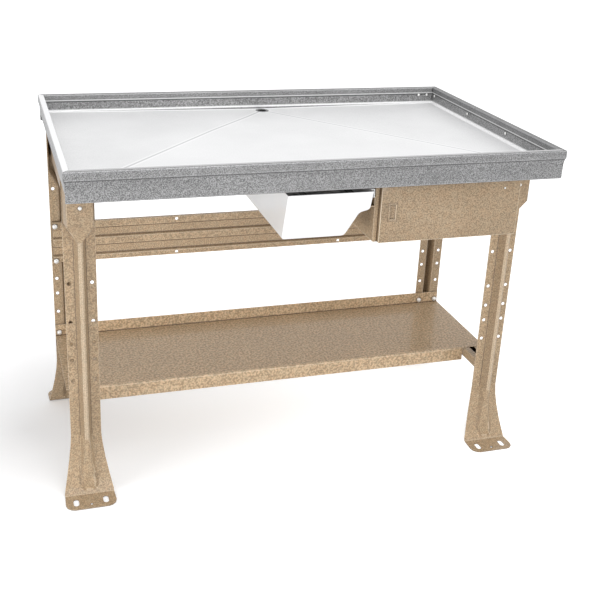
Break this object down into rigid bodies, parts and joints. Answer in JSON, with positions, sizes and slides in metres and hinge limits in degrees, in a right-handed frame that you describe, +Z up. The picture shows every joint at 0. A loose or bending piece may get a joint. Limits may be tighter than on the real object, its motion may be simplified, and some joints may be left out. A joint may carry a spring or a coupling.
{
  "type": "stainless steel work table",
  "caption": "Steel workbench whose top is a shallow drain tank, with a sliding drain pan, a drawer, pressed legs, a rear stringer and a lower shelf.",
  "frame": {"origin": "on the floor under the middle of the top", "axes": "+Z up, +X along the length to the right, +Y from the front with the drawer to the back"},
  "size_m": [1.256, 0.762, 0.9],
  "materials": {
    "tank_steel": "dull grained grey",
    "tank_floor": "bright matt sheet",
    "tan_paint": "satin tan enamel",
    "white_paint": "satin white enamel",
    "zinc": "zinc plated"
  },
  "bodies": {
    "bench": {"tank_pan": "tank_floor", "rim_front": "tank_steel", "rim_back": "tank_steel", "rim_left": "tank_steel", "rim_right": "tank_steel", "drain_spout": "tank_steel", "leg_front_left": "tan_paint", "leg_front_right": "tan_paint", "leg_rear_left": "tan_paint", "leg_rear_right": "tan_paint", "top_end_rail_left": "tan_paint", "top_end_rail_right": "tan_paint", "lower_end_rail_left": "tan_paint", "lower_end_rail_right": "tan_paint", "front_bearer": "tan_paint", "rear_bearer": "tan_paint", "rear_stringer": "tan_paint", "lower_shelf": "tan_paint", "pan_runner_left": "tan_paint", "pan_runner_right": "tan_paint", "drawer_case": "tan_paint", "drawer_runner_left": "zinc", "drawer_runner_right": "zinc", "bolt_top_front_left": "zinc", "bolt_top_front_right": "zinc", "bolt_top_rear_left": "zinc", "bolt_top_rear_right": "zinc", "bolt_rail_rear_left_a": "zinc", "bolt_rail_rear_left_b": "zinc", "bolt_rail_rear_right_a": "zinc", "bolt_rail_rear_right_b": "zinc", "bolt_shelf_left_a": "zinc", "bolt_shelf_left_b": "zinc", "bolt_shelf_right_a": "zinc", "bolt_shelf_right_b": "zinc", "bolt_stringer_left_a1": "zinc", "bolt_stringer_left_a2": "zinc", "bolt_stringer_left_b1": "zinc", "bolt_stringer_left_b2": "zinc", "bolt_stringer_right_a1": "zinc", "bolt_stringer_right_a2": "zinc", "bolt_stringer_right_b1": "zinc", "bolt_stringer_right_b2": "zinc"},
    "drawer": {"drawer_front": "tan_paint", "drawer_tray": "tan_paint", "drawer_slide_left": "zinc", "drawer_slide_right": "zinc"},
    "pan": {"drain_pan": "white_paint"}
  },
  "joints": [
    {"name": "drawer_slide", "type": "slide", "parent": "bench", "child": "drawer", "axis": [0, -1, 0], "range_m": [0, 0.35]},
    {"name": "pan_slide", "type": "slide", "parent": "bench", "child": "pan", "axis": [0, -1, 0], "range_m": [0, 0.45]}
  ]
}
